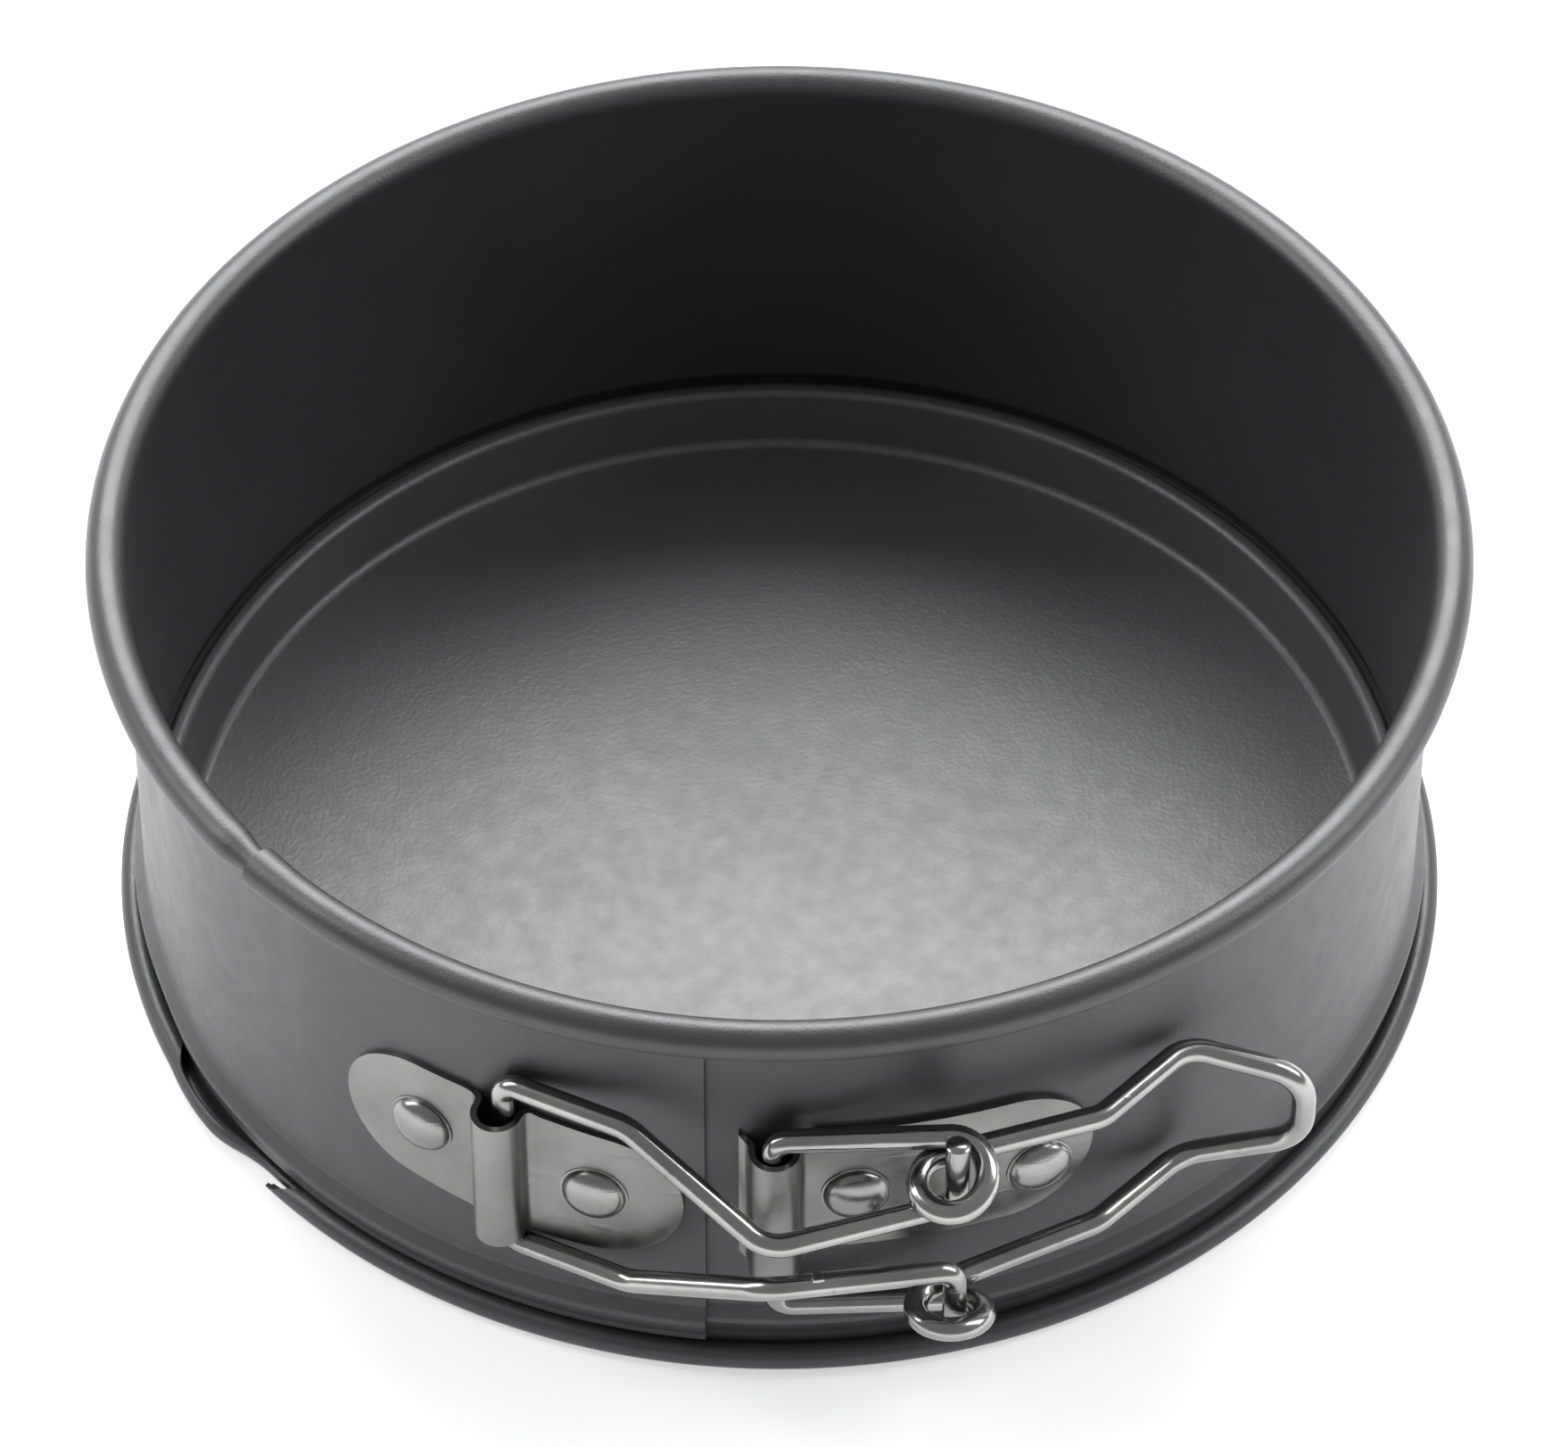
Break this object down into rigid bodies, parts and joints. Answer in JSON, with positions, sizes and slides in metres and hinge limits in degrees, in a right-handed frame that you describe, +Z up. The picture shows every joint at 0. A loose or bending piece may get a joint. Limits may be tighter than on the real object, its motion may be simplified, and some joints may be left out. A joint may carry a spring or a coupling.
{
  "type": "springform pan",
  "caption": "Round springform baking pan: a non-stick sheet steel band with rolled rim and hem, a sunken base plate and a riveted over-centre wire clasp.",
  "frame": {"origin": "centre of the base plate's underside, on the plane that the pan stands on", "axes": "+Z up, -Y towards the clasp, +X to the right seen from the clasp"},
  "size_m": [0.1916, 0.2024, 0.0696],
  "materials": {
    "coated_steel": "satin dark grey non-stick coating",
    "coated_base": "satin dark grey non-stick coating with a fine grain",
    "plated_strap": "bright nickel plate with light scratches",
    "plated_rivet": "bright nickel plate",
    "plated_wire": "bright chrome plate"
  },
  "bodies": {
    "band": {"band_right": "coated_steel", "right_bracket": "plated_strap", "right_rivets": "plated_rivet"},
    "band_end": {"band_left": "coated_steel", "left_bracket": "plated_strap", "left_rivets": "plated_rivet"},
    "base": {"base_plate": "coated_base"},
    "link": {"link_wire": "plated_wire"},
    "lever": {"lever_wire": "plated_wire"}
  },
  "joints": [
    {"name": "lever_swing", "type": "hinge", "parent": "band", "child": "lever", "pos_m": [-0.0008, -0.0942, 0.0334], "axis": [0, 0, -1], "range_deg": [0, 50]},
    {"name": "band_opening", "type": "hinge", "parent": "band", "child": "band_end", "pos_m": [0, 0.097, 0.034], "axis": [0, 0, -1], "range_deg": [0, 2]},
    {"name": "link_swing", "type": "hinge", "parent": "band_end", "child": "link", "pos_m": [-0.0366, -0.0863, 0.0342], "axis": [0, 0, -1], "range_deg": [0, 18]},
    {"name": "base_turn", "type": "hinge", "parent": "band", "child": "base", "pos_m": [0, 0, 0.008], "axis": [0, 0, 1], "continuous": true}
  ],
  "couplings": [
    {"joint": "band_opening", "follows": "lever_swing", "ratio": 0.0349},
    {"joint": "link_swing", "follows": "lever_swing", "ratio": 0.311}
  ]
}
